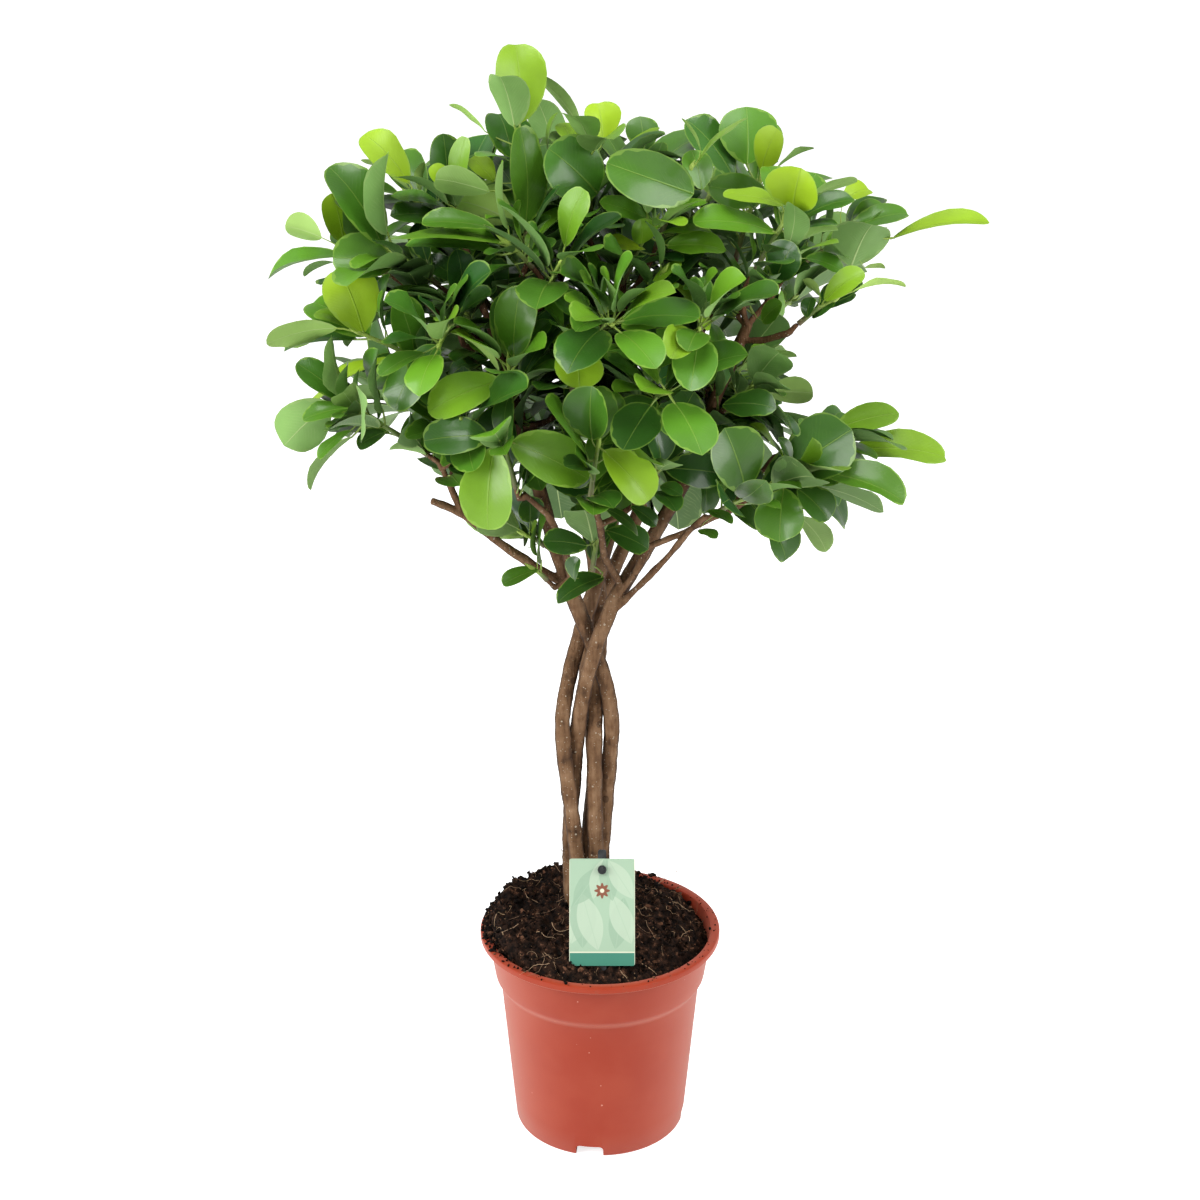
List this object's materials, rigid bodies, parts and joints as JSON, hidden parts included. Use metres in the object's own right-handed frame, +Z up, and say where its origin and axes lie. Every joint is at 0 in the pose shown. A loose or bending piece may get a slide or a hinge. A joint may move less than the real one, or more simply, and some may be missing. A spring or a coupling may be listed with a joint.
{
  "type": "potted standard ficus",
  "caption": "Small standard ficus: a braided trunk of bare woody stems under a loose round crown of glossy leaves, in a tapered round plant pot of soil with a care tag on a stake.",
  "frame": {"origin": "middle of the pot's underside, on the surface that the pot stands on", "axes": "+Z up along the trunk, -Y towards the tag and the viewer, +X to the viewer's right"},
  "size_m": [0.3744, 0.2827, 0.625],
  "materials": {
    "pot": "satin terracotta-coloured plastic",
    "soil": "dark peat potting soil",
    "bark": "brown-grey young bark",
    "leaf": "glossy leathery leaf",
    "card": "pale green coated card",
    "stake": "black plastic"
  },
  "bodies": {
    "root": {"pot": "pot", "shoot_back_far_left": "leaf", "shoot_back_far_right": "leaf", "shoot_back_left": "leaf", "shoot_back_left_high": "leaf", "shoot_back_left_top": "leaf", "shoot_back_mid_high": "leaf", "shoot_back_mid_left": "leaf", "shoot_back_mid_right": "leaf", "shoot_back_right": "leaf", "shoot_back_right_high": "leaf", "shoot_back_top": "leaf", "shoot_back_top_right": "leaf", "shoot_centre": "leaf", "shoot_centre_top": "leaf", "shoot_front_centre": "leaf", "shoot_front_centre_high": "leaf", "shoot_front_high": "leaf", "shoot_front_left": "leaf", "shoot_front_left_high": "leaf", "shoot_front_left_low": "leaf", "shoot_front_left_upper": "leaf", "shoot_front_mid": "leaf", "shoot_front_right": "leaf", "shoot_front_right_high": "leaf", "shoot_front_right_inner": "leaf", "shoot_front_upper": "leaf", "shoot_inner_left": "leaf", "shoot_inner_left_low": "leaf", "shoot_left_far": "leaf", "shoot_left_low": "leaf", "shoot_left_mid": "leaf", "shoot_left_up": "leaf", "shoot_low_left": "leaf", "shoot_low_left_upper": "leaf", "shoot_low_mid": "leaf", "shoot_middle_left": "leaf", "shoot_middle_right": "leaf", "shoot_right_low": "leaf", "shoot_right_low_back": "leaf", "shoot_right_mid": "leaf", "shoot_right_sprig": "leaf", "shoot_right_top": "leaf", "shoot_right_upper": "leaf", "shoot_top_back": "leaf", "shoot_top_left": "leaf", "shoot_top_mid": "leaf", "shoot_top_mid_right": "leaf", "shoot_top_right": "leaf", "shoot_top_right_back": "leaf", "shoot_upper_left": "leaf", "shoot_upper_left_inner": "leaf", "soil": "soil", "stem_1": "bark", "stem_2": "bark", "stem_3": "bark", "stem_4": "bark", "stem_5": "bark", "tag_card": "card", "tag_stake": "stake"}
  },
  "joints": []
}
